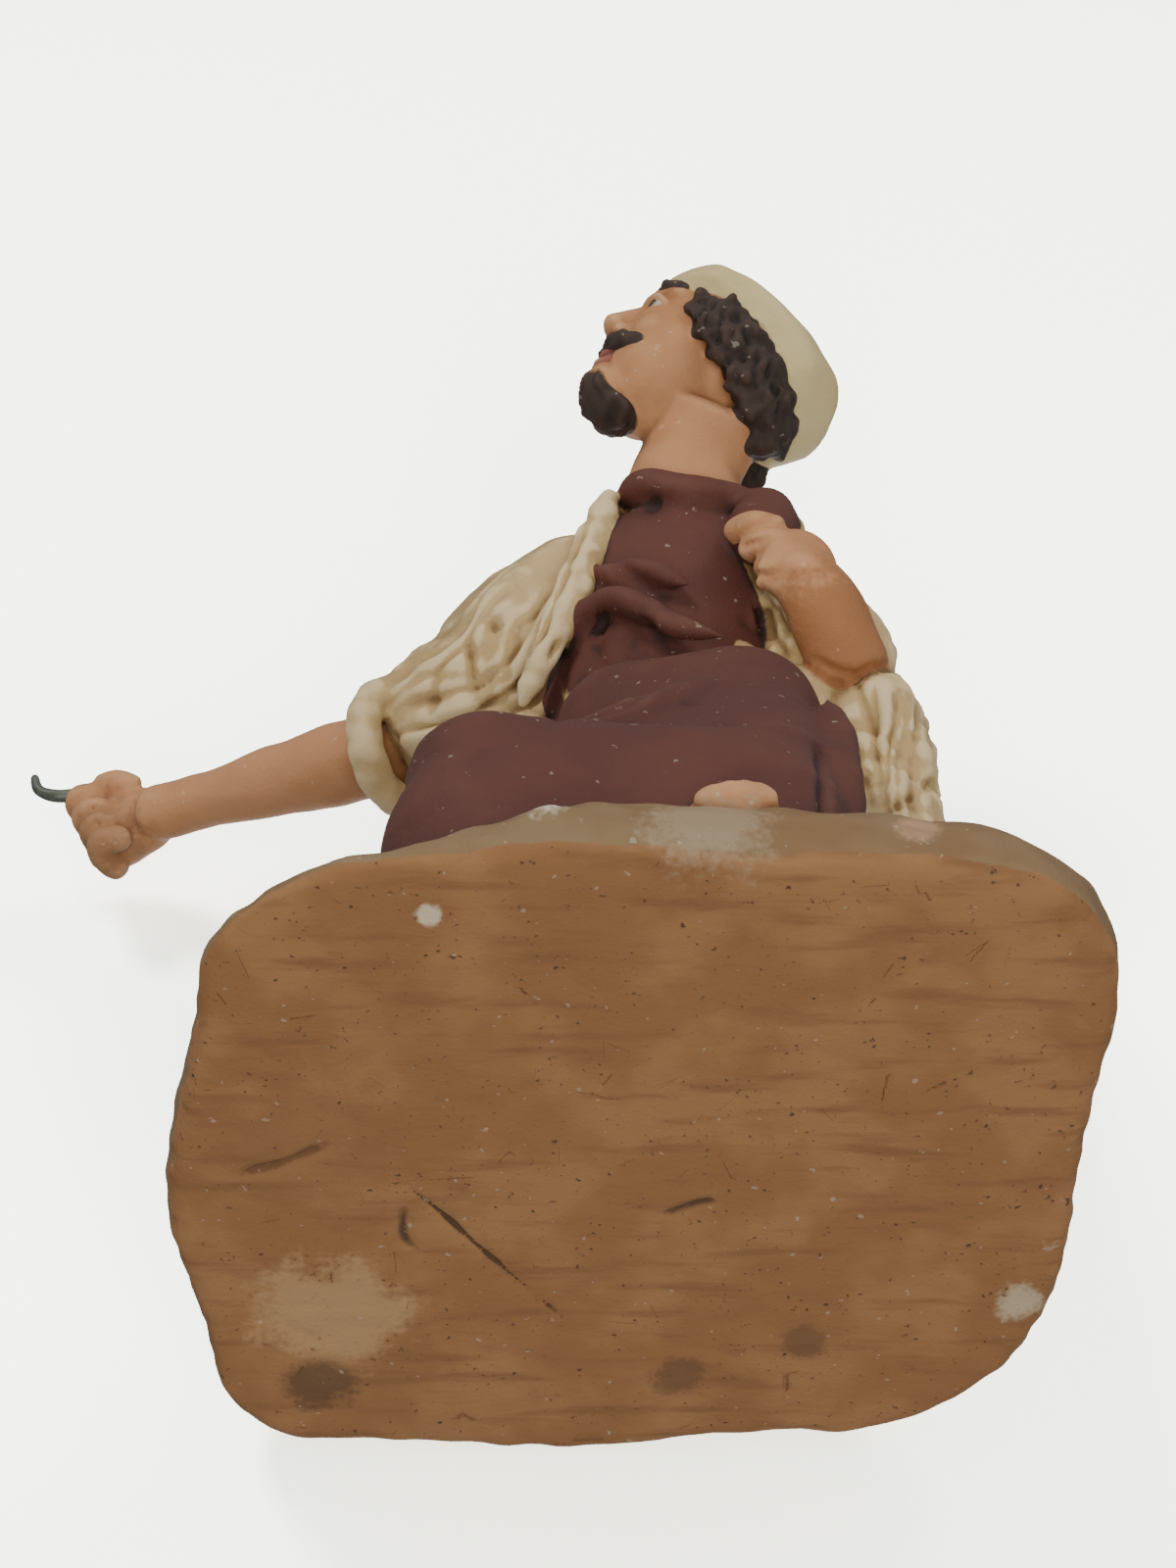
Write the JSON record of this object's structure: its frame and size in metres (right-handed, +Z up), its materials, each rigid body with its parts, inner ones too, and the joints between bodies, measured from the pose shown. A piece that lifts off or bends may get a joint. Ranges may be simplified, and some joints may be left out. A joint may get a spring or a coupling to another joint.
{
  "type": "nativity shepherd figurine",
  "caption": "Painted fired-clay figurine of a kneeling bearded shepherd with a cap and a coat, one arm stretched out with a wire stub in its fist, on a flat ground slab.",
  "frame": {"origin": "on the flat underside of the ground slab, in the middle of the slab", "axes": "+Z up from the underside, -Y the way the figure faces, +X to the figure's own left side"},
  "size_m": [0.0836, 0.0557, 0.0955],
  "materials": {
    "painted_clay": "matte hand-painted fired clay, worn: burgundy-brown tunic, cream coat and cap, skin and dark hair; bare brown clay underneath",
    "iron_wire": "dull dark grey, weathered"
  },
  "bodies": {
    "root": {"shepherd_figure": "painted_clay", "staff_wire": "iron_wire"}
  },
  "joints": []
}
